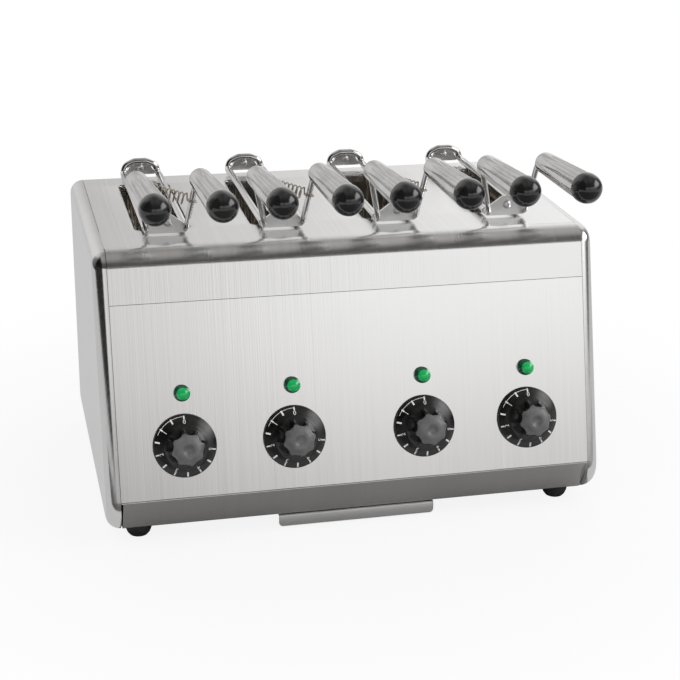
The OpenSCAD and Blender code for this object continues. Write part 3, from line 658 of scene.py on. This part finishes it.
def skirtPlace(centre, angle, radius, size):
    # a frame on the sloping skirt: X round it, Y away from the middle, Z out of it
    turn = math.radians(angle)
    outward = panelUp * math.cos(turn) - Vector((1, 0, 0)) * math.sin(turn)
    tilt = math.atan(size["skirtSlope"])
    height = size["skirtHeight"] + (size["skirtRadius"] - radius) * size["skirtSlope"]
    normal = panelOut * math.cos(tilt) + outward * math.sin(tilt)
    upward = outward * math.cos(tilt) - panelOut * math.sin(tilt)
    turnMatrix = Matrix((upward.cross(normal), upward, normal)).transposed().to_4x4()
    spot = centre + outward * radius / 1000 + panelOut * (height + size["lift"]) / 1000
    return Matrix.Translation(spot) @ turnMatrix


def makeMarks(n, size):
    centre = onPanel(dialX[n - 1], dial["height"])
    bm = bmesh.new()
    ticks = [(angle, size["tick"]) for angle in size["figures"].values()]
    ticks += [(angle, size["halfTick"]) for angle in size["halves"]]
    for angle, (width, length) in ticks:
        spot = skirtPlace(centre, angle, size["tickRadius"] - length / 2, size)
        tick = bmesh.ops.create_cube(bm, size=1)["verts"]
        bmesh.ops.scale(bm, verts=tick, vec=(width / 1000, length / 1000, size["tickDeep"] / 1000))
        bmesh.ops.transform(bm, matrix=spot, verts=tick)
    # the thin arc along the skirt's rim is a painted highlight, drawn in the white of the printed marks
    radii = (size["glintRadius"], size["glintRadius"] - size["glintWide"])
    ends = [skirtPlace(centre, size["glintFrom"], r, size).to_translation() for r in radii]
    line = bm.edges.new([bm.verts.new(p) for p in ends])
    bmesh.ops.spin(bm, geom=[line] + list(line.verts), cent=centre, axis=panelOut, dvec=(0, 0, 0),
                   angle=math.radians(size["glintSweep"]), steps=40)
    for word, angle in size["figures"].items():
        before = set(bm.verts)
        mesh = textMesh(word, size)
        bm.from_mesh(mesh)
        bpy.data.meshes.remove(mesh)
        figure = [v for v in bm.verts if v not in before]
        bmesh.ops.transform(bm, matrix=skirtPlace(centre, angle, size["figureRadius"], size), verts=figure)
    finishPiece(bm, f"dialMarksAndGlint_{n}", f"dial_{n}", paintAndGlintWhite, (), outward=False)


lamp = {"height": 72.6, "rimFrom": 4.6,
        "profile": [(0, -0.9), (4, -0.9), (4, 0.05), (6.0, 0.05), (6.0, 1.6), (5.9, 2.0), (5.75, 3.0),
                    (5.3, 4.6), (4.5, 6.0), (3.3, 7.1), (1.8, 7.75), (0, 7.95)]}


def makeLenses(size):
    bm = bmesh.new()
    for x in dialX:
        centre = onPanel(x, size["height"])
        before = set(bm.faces)
        lathe(bm, size["profile"], centre, panelOut, steps=48)
        for face in set(bm.faces) - before:
            offset = face.calc_center_median() - centre
            flat = offset - panelOut * offset.dot(panelOut)
            # faces past rimFrom take the painted shade of the rim
            face.material_index = flat.length * 1000 > size["rimFrom"]
    finishPiece(bm, "lampLenses", "casing", lensGreen, ["lamp_lenses"], sharp=40, second=shadedLensRim)


for n in range(1, 5):
    makeDial(n, dial)
    makeMarks(n, marks)
makeLenses(lamp)
print("dials and lamps made")


# tongs
tong = {"legX": 14, "legZ": 4.3, "plateY": 84, "stemFoot": 79, "stemY": 77, "gripX": 22.5, "gripZ": 45,
        "gripGap": 8, "gripLong": 73, "gripTurn": 3.3}
gripTurn = math.radians(tong["gripTurn"])  # the grips point a little to the right
gripAhead = Vector((math.sin(gripTurn), -math.cos(gripTurn), 0))


def overSlot(n, x, y, z):
    return at(slotX[n - 1] + x, y, topZ + z)


def gripPlace(n, sign, run):
    return overSlot(n, tong["gripX"] * sign, tong["stemY"], tong["gripZ"]) + gripAhead * run / 1000


def stemPlace(n, sign, z):
    share = (z - tong["legZ"]) / (tong["gripZ"] - tong["legZ"])
    x = tong["legX"] + (tong["gripX"] - tong["legX"]) * share
    y = tong["stemFoot"] + (tong["stemY"] - tong["stemFoot"]) * share
    return overSlot(n, x * sign, y, z)


arch = {"wire": 2.5, "y": 245, "z": 13.9, "run": 8, "kneeIn": 2, "kneeUp": 6.4, "topHalf": 5,
        "bends": [0, 3.4, 6, 7, 7, 6, 3.4, 0]}


def makeFrame(n, size):
    bm = bmesh.new()
    legX, legZ, y = tong["legX"], tong["legZ"], size["y"]
    half = [(legX, y - size["run"], legZ), (legX, y, legZ), (legX - size["kneeIn"], y, legZ + size["kneeUp"]),
            (size["topHalf"], y, size["z"])]
    path = [overSlot(n, -px, py, pz) for px, py, pz in half]
    path += [overSlot(n, *p) for p in reversed(half)]
    runWire(bm, path, size["bends"], size["wire"], sides=24, steps=10)
    finishPiece(bm, f"tongFrame_{n}", f"tong_{n}", chrome, [f"tong_{n}_frame"])


plates = {"thick": 1.9, "footIn": 0.6, "foot": 3.0, "earZ": 10, "ear": 6.4, "screwPlace": (1.5, 0.95, 0.6),
          "screw": [(0, 0.7), (1.1, 0.75), (1.3, 1.5), (2.4, 1.3), (3.1, 0.7), (3.25, 0.1), (3.25, -0.4),
                    (0, -0.4)],
          "archThick": 1.4, "archLow": (10.5, 4.2, 1.2), "archHigh": (5, 2.2, 1.6), "rivetPlace": (0.75, 8.6),
          "rivet": [(0, 1.5), (1.2, 1.4), (2.2, 0.9), (2.6, 0), (2.6, -0.4), (0, -0.4)], "edge": 0.25}


def roundedPlate(bm, bosses, thick):
    # the hull of a few round bosses, each given as a place and a radius
    turn = forward.to_track_quat("Z", "Y").to_matrix().to_4x4()
    verts = []
    for place, radius in bosses:
        verts += bmesh.ops.create_cone(bm, cap_ends=False, segments=40, radius1=radius / 1000,
                                       radius2=radius / 1000, depth=thick / 1000,
                                       matrix=Matrix.Translation(place) @ turn)["verts"]
    bmesh.ops.delete(bm, geom=list({f for v in verts for f in v.link_faces}), context="FACES_ONLY")
    hull = bmesh.ops.convex_hull(bm, input=verts)
    bmesh.ops.delete(bm, geom=newPart(hull["geom_interior"], bmesh.types.BMVert), context="VERTS")
    bmesh.ops.delete(bm, geom=[e for e in bm.edges if not e.link_faces], context="EDGES")


def makePlates(n, size):
    # the plate that carries both jaws in front, its screw, and the riveted plate in the arch behind
    bm = bmesh.new()
    front, back = tong["plateY"], arch["y"]
    footX = tong["legX"] - size["footIn"]
    bosses = [(overSlot(n, x, front, tong["legZ"]), size["foot"]) for x in (-footX, footX)]
    roundedPlate(bm, bosses + [(overSlot(n, 0, front, size["earZ"]), size["ear"])], size["thick"])
    lowX, lowZ, lowRadius = size["archLow"]
    highX, highDrop, highRadius = size["archHigh"]
    bosses = [(overSlot(n, x, back, lowZ), lowRadius) for x in (-lowX, lowX)]
    bosses += [(overSlot(n, x, back, arch["z"] - highDrop), highRadius) for x in (-highX, highX)]
    roundedPlate(bm, bosses, size["archThick"])
    screwX, screwOut, screwDrop = size["screwPlace"]
    screwSpot = overSlot(n, screwX, front - screwOut, size["earZ"] - screwDrop)
    lathe(bm, size["screw"], screwSpot, forward, steps=32)
    rivetOut, rivetZ = size["rivetPlace"]
    lathe(bm, size["rivet"], overSlot(n, 0, back - rivetOut, rivetZ), forward, steps=32)
    finishPiece(bm, f"tongPlates_{n}", f"tong_{n}", plateSteel, (), edge=size["edge"])


jaw = {"tube": [(0, 2.2), (2.1, 2.2), (2.5, 2.6), (2.75, 3.6), (2.8, 5), (2.8, 151.6), (2.6, 152.3),
                (2.2, 152.6), (0, 152.6)],
       "stem": 2.1, "stemBack": 95, "stemIn": 70, "stemBends": [0, 3.6, 7.5, 0],
       "gridX": 10, "gridDeep": 112, "gridIn": 1, "gridDrop": 2.4, "gridTip": 3, "gridPast": 2.9,
       "rowFrom": 104.55, "rowPitch": 28.75, "rows": 5, "barsZ": (-22, -52, -82), "wire": 1.5, "bar": 1.2,
       "hook": 0.975, "hookX": 2.1, "hookUp": 2, "wireSides": 10}


def makeJaw(n, side, sign, hooks, size):
    bm = bmesh.new()
    legX, legZ, deep, sides = tong["legX"], tong["legZ"], size["gridDeep"], size["wireSides"]
    lathe(bm, size["tube"], overSlot(n, legX * sign, tong["plateY"], legZ), -forward, steps=28)
    stem = [overSlot(n, legX * sign, y, legZ) for y in (size["stemBack"], tong["stemFoot"])]
    stem += [gripPlace(n, sign, run) for run in (0, size["stemIn"])]
    runWire(bm, stem, size["stemBends"], size["stem"], sides=20, steps=12)

    def straight(start, end, radius):
        runWire(bm, [overSlot(n, x * sign, y, z) for x, y, z in (start, end)], [0, 0], radius, sides)

    rows = [size["rowFrom"] + k * size["rowPitch"] for k in range(size["rows"])]
    topX, past = legX - size["gridIn"], size["gridPast"]
    slope = (topX - size["gridX"]) / (deep + legZ)
    for y in rows:
        tip = (size["gridX"] - slope * size["gridTip"], y, -deep - past)
        straight((topX, y, legZ - size["gridDrop"]), tip, size["wire"])
    for z in size["barsZ"] + (-deep,):
        x = size["gridX"] + slope * (deep + z)
        straight((x, rows[0] - past, z), (x, rows[-1] + past, z), size["bar"])
    for k in hooks:
        z = size["hookUp"] - deep
        straight((size["gridX"], rows[k], z), (size["hookX"], rows[k], z), size["hook"])
    finishPiece(bm, f"tongJaw_{n}_{side}", f"tong_{n}_{side}", chrome, [f"tong_{n}_{side}_jaw"])


grip = {"profile": [(0, 0.2), (4.6, 0.1), (5.6, 0.3), (7.0, 1.2), (7.7, 2.8), (8.0, 5), (8.8, 26), (9.6, 46),
                    (10.2, 64), (10.4, 71.5), (10.3, 72.6), (10.0, 72.95), (0, 72.95)],
        "longRun": 4, "cuts": 11, "flutes": 10, "fluteDepth": 1.9, "fluteFrom": 14, "fluteFull": 42,
        "fluteTo": 72.8, "fluteHalf": 16.5, "thin": 7.8, "widen": 0.6, "deepen": 0.8, "hollow": 1.2}


def makeGrip(n, side, sign, size):
    centre = gripPlace(n, sign, tong["gripGap"])
    across = skyward.cross(gripAhead)
    bm = bmesh.new()
    lathe(bm, size["profile"], centre, gripAhead, steps=160)
    runs = [(e, abs((e.verts[0].co - e.verts[1].co).dot(gripAhead)) * 1000) for e in bm.edges]
    bmesh.ops.subdivide_edges(bm, edges=[e for e, run in runs if run > size["longRun"]], cuts=size["cuts"],
                              use_grid_fill=True)
    pitch = 360 / size["flutes"]
    for vert in bm.verts:
        offset = vert.co - centre
        run = offset.dot(gripAhead) * 1000
        flat = offset - gripAhead * offset.dot(gripAhead)
        share = rise(run, size["fluteFrom"], size["fluteFull"])
        if share and flat.length * 1000 > size["thin"] and run < size["fluteTo"]:
            # each flute starts as a point and widens towards the cap
            angle = math.degrees(math.atan2(flat.z, flat.dot(across))) + pitch / 3
            aside = (angle + pitch / 2) % pitch - pitch / 2
            wide = size["fluteHalf"] * share ** size["widen"]
            hollow = max(0, 1 - (aside / wide) ** 2) ** size["hollow"]
            vert.co -= flat.normalized() * size["fluteDepth"] / 1000 * share ** size["deepen"] * hollow
    finishPiece(bm, f"tongGrip_{n}_{side}", f"tong_{n}_{side}", shadedGripChrome, [f"tong_{n}_{side}_grip"],
                sharp=60)


cap = {"profile": [(0, 0.05), (10.3, 0.05), (10.75, 0.4), (10.85, 1.2), (10.85, 3.2), (10.65, 5.4),
                   (9.95, 8.0), (8.75, 10.1), (7.0, 12.0), (4.8, 13.4), (2.45, 14.2), (0, 14.4)]}


def makeCap(n, side, sign, size):
    bm = bmesh.new()
    lathe(bm, size["profile"], gripPlace(n, sign, tong["gripGap"] + tong["gripLong"]), gripAhead, steps=64)
    finishPiece(bm, f"tongCap_{n}_{side}", f"tong_{n}_{side}", capBlack, [f"tong_{n}_{side}_cap"],
                sharp=45)


# the spring's ends are heights on the stems
spring = {"leftZ": 40, "rightZ": 26, "radius": 4.15, "wire": 0.55, "sides": 8, "turns": 10, "turnSteps": 18,
          "clear": 5.0, "loop": 3.4, "loopSteps": 28, "anchor": 0.633, "keep": 0.794}


def makeSpring(n, size):
    bm = bmesh.new()
    left, right = stemPlace(n, -1, size["leftZ"]), stemPlace(n, 1, size["rightZ"])
    along = (right - left).normalized()
    side = along.cross(skyward).normalized()
    up = side.cross(along)
    clear, loop = size["clear"] / 1000, size["loop"] / 1000
    first = left + along * clear
    span = (right - left).length - 2 * clear
    crown = up * size["radius"] / 1000
    ring = startRing(bm, first + crown, side, size["wire"], size["sides"])
    steps = size["turnSteps"] * size["turns"]
    spun = bmesh.ops.spin(bm, geom=ring, cent=first, axis=along, dvec=along * span / steps,
                          angle=math.tau * size["turns"], steps=steps, use_merge=False)["geom_last"]
    bmesh.ops.contextual_create(bm, geom=newPart(spun, bmesh.types.BMEdge))
    # a loop round each stem, and the straight wire that joins it to the coil
    for end, way, centre in ((left, 1, first), (right, -1, first + along * span)):
        stem = (stemPlace(n, -way, tong["gripZ"]) - stemPlace(n, -way, tong["legZ"])).normalized()
        out = (along - stem * along.dot(stem)).normalized()
        ring = startRing(bm, end + out * loop, stem.cross(out), size["wire"], size["sides"])
        bmesh.ops.spin(bm, geom=ring, cent=end, axis=stem, dvec=(0, 0, 0), angle=math.tau,
                       steps=size["loopSteps"], use_merge=True)
        runWire(bm, [centre + crown, end + out * way * loop], [0, 0], size["wire"], size["sides"])
    bmesh.ops.remove_doubles(bm, verts=bm.verts[:], dist=1e-7)
    piece = finishPiece(bm, f"tongSpring_{n}", f"tong_{n}", wireSteel, [f"tong_{n}_spring"],
                        sharp=60)
    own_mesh(piece)


for n in range(1, 5):
    makeFrame(n, arch)
    makePlates(n, plates)
    makeJaw(n, "left", -1, (0, 2, 4), jaw)
    makeJaw(n, "right", 1, (1, 3), jaw)
    for side, sign in (("left", -1), ("right", 1)):
        makeGrip(n, side, sign, grip)
        makeCap(n, side, sign, cap)
    makeSpring(n, spring)
print("tongs made")


# floor, cards, lamps and what polished metal mirrors
studio = {"floor": (0.6, 0.6, 0.6, 1), "floorHalf": 6000, "floorRough": 0.8, "floorFade": (0.2, 0.5),
          "floorWhite": 0.88, "cardZ": 0.4,
          "cards": [("kickShadowCard", (-176, -18), (190, 60), 0.2), ("frontDarkReflectionCard", (-700, -950), (900, -70), 0.1)],
          "lamps": [("keyLamp", (830, -400, 900), (100, 20, 200), 700, 6),
                    ("leftLamp", (-900, -500, 1300), (0, 100, 150), 1000, 7),
                    ("backLamp", (300, 1200, 1300), (0, 120, 200), 1200, 7)]}
# stops are (place, brightness), along the sine of the height or across from left to right
mirror = {"ambient": (0.68, 0.68, 0.68, 1), "turn": (0.0, 0.35), "highlightPatch": (3.2, 3.2, 3.2, 1),
          "boxSide": (0.5, 0.75), "boxLow": (0.15, 0.35), "boxHigh": (0.6, 0.85), "boxBack": (-0.1, 0.2),
          "front": [(0.0, 0.57), (0.07, 0.67), (0.14, 0.95), (0.18, 1.0), (0.31, 1.0), (0.36, 0.08),
                    (0.7, 0.11), (0.95, 0.4)],
          "rear": [(0.0, 0.9), (0.3, 0.97), (0.5, 0.95), (0.75, 0.78), (0.95, 0.4)],
          "frontAcross": [(0.0, 0.02), (0.24, 0.03), (0.3, 0.9), (0.42, 0.8), (0.5, 0.65), (0.55, 0.74),
                          (0.61, 1.0), (0.88, 1.0), (0.94, 0.4), (1.0, 0.15)],
          "rearAcross": [(0.0, 0.1), (0.12, 0.2), (0.22, 0.8), (0.35, 0.8), (0.52, 0.55), (0.58, 0.7),
                         (0.68, 1.0), (0.84, 0.95), (0.91, 0.3), (1.0, 0.15)]}


def addRamp(tree, value, stops):
    # darker stops are a little warmer
    ramp = tree.nodes.new("ShaderNodeValToRGB")
    elements = ramp.color_ramp.elements
    while len(elements) < len(stops):
        elements.new(0.5)
    for element, (position, tone) in zip(elements, stops):
        element.position = position
        element.color = (tone, tone * (0.955 + 0.045 * tone), tone * (0.91 + 0.09 * tone), 1)
    tree.links.new(value, ramp.inputs["Fac"])
    return ramp.outputs["Color"]


def addRange(tree, value, limits):
    node = tree.nodes.new("ShaderNodeMapRange")
    node.interpolation_type = "SMOOTHSTEP"
    node.inputs["From Min"].default_value = limits[0]
    node.inputs["From Max"].default_value = limits[1]
    tree.links.new(value, node.inputs["Value"])
    return node.outputs["Result"]


def makeSheet(name, low, high, height, material):
    bm = bmesh.new()
    verts = bmesh.ops.create_grid(bm, x_segments=1, y_segments=1, size=0.5)["verts"]
    bmesh.ops.scale(bm, verts=verts, vec=((high[0] - low[0]) / 1000, (high[1] - low[1]) / 1000, 1))
    bmesh.ops.translate(bm, verts=verts, vec=at((low[0] + high[0]) / 2, (low[1] + high[1]) / 2, height))
    mesh = bpy.data.meshes.new(name)
    bm.to_mesh(mesh)
    bm.free()
    mesh.materials.append(material)
    sheet = bpy.data.objects.new(name, mesh)
    scene.collection.objects.link(sheet)
    return sheet


def makeFloor(size):
    # white to the camera, greyer in mirrors, and shaded where the toaster stands
    material = bpy.data.materials.new("paleFloor")
    material.use_nodes = True
    tree = material.node_tree
    shader = tree.nodes["Principled BSDF"]
    shader.inputs["Base Color"].default_value = size["floor"]
    shader.inputs["Roughness"].default_value = size["floorRough"]
    white = tree.nodes.new("ShaderNodeEmission")
    place = tree.nodes.new("ShaderNodeTexCoord")
    reach = tree.nodes.new("ShaderNodeVectorMath")
    reach.operation = "LENGTH"
    tree.links.new(place.outputs["Object"], reach.inputs[0])
    fade = addRange(tree, reach.outputs["Value"], size["floorFade"])
    path = tree.nodes.new("ShaderNodeLightPath")
    share = addMath(tree, "MULTIPLY_ADD", fade, 1 - size["floorWhite"], size["floorWhite"])
    mirrored = path.outputs["Is Glossy Ray"]
    tree.links.new(addMix(tree, mirrored, (1, 1, 1, 1), size["floor"]), white.inputs["Color"])
    seen = addMath(tree, "MULTIPLY", share, addMath(tree, "MAXIMUM", path.outputs["Is Camera Ray"], mirrored))
    mix = tree.nodes.new("ShaderNodeMixShader")
    tree.links.new(seen, mix.inputs[0])
    tree.links.new(shader.outputs[0], mix.inputs[1])
    tree.links.new(white.outputs[0], mix.inputs[2])
    tree.links.new(mix.outputs[0], tree.nodes["Material Output"].inputs["Surface"])
    half = size["floorHalf"]
    makeSheet("floor", (-half, -half), (half, half), 0, material)


def makeCards(size):
    # dark cards laid before the toaster, which only polished pieces see: painted shade in their reflections,
    # the kick card a painted shadow on the floor just before the kick strip, the front card painted shade on
    # the floor further out
    for name, low, high, tone in size["cards"]:
        material = bpy.data.materials.new(name)
        material.use_nodes = True
        shade = (tone, tone * 0.98, tone * 0.96, 1)
        material.node_tree.nodes["Principled BSDF"].inputs["Base Color"].default_value = shade
        card = makeSheet(name, low, high, size["cardZ"], material)
        card.visible_camera = False
        card.visible_diffuse = False
        card.visible_shadow = False


def makeLamps(size):
    for name, place, target, width, power in size["lamps"]:
        data = bpy.data.lights.new(name, "AREA")
        data.shape = "SQUARE"
        data.size = width / 1000
        data.energy = power
        light = bpy.data.objects.new(name, data)
        light.location = at(*place)
        light.rotation_euler = (at(*target) - at(*place)).to_track_quat("-Z", "Y").to_euler()
        light.visible_glossy = False
        scene.collection.objects.link(light)


def makeWorld(size):
    world = bpy.data.worlds.new("studio")
    scene.world = world
    world.use_nodes = True
    tree = world.node_tree
    tree.nodes.clear()
    place = tree.nodes.new("ShaderNodeTexCoord")
    split = tree.nodes.new("ShaderNodeSeparateXYZ")
    tree.links.new(place.outputs["Generated"], split.inputs[0])
    x, y, z = (split.outputs[k] for k in "XYZ")
    across = addMath(tree, "MULTIPLY_ADD", x, 0.5, 0.5)
    halves = []
    for half in ("front", "rear"):
        heights = addRamp(tree, z, size[half])
        halves.append(addMix(tree, 1, heights, addRamp(tree, across, size[half + "Across"]), "MULTIPLY"))
    around = addMix(tree, addRange(tree, y, size["turn"]), *halves)
    # a tall bright patch to the right, seen only in reflections, is a painted highlight on the caps
    box = addMath(tree, "MULTIPLY", addRange(tree, x, size["boxSide"]), addRange(tree, z, size["boxLow"]))
    box = addMath(tree, "SUBTRACT", box, addRange(tree, z, size["boxHigh"]))
    box = addMath(tree, "SUBTRACT", box, addRange(tree, y, size["boxBack"]))
    around = addMix(tree, addMath(tree, "MAXIMUM", box, 0), around, size["highlightPatch"])
    path = tree.nodes.new("ShaderNodeLightPath")
    seen = addMath(tree, "MAXIMUM", path.outputs["Is Camera Ray"], path.outputs["Is Transmission Ray"])
    # glossy rays see these painted reflections, while other light rays see the even ambient grey
    tone = addMix(tree, path.outputs["Is Glossy Ray"], size["ambient"], around)
    tone = addMix(tree, seen, tone, (1, 1, 1, 1))
    sky = tree.nodes.new("ShaderNodeBackground")
    out = tree.nodes.new("ShaderNodeOutputWorld")
    tree.links.new(tone, sky.inputs["Color"])
    tree.links.new(sky.outputs[0], out.inputs["Surface"])


makeFloor(studio)
makeCards(studio)
makeLamps(studio)
makeWorld(mirror)
print("studio lit")
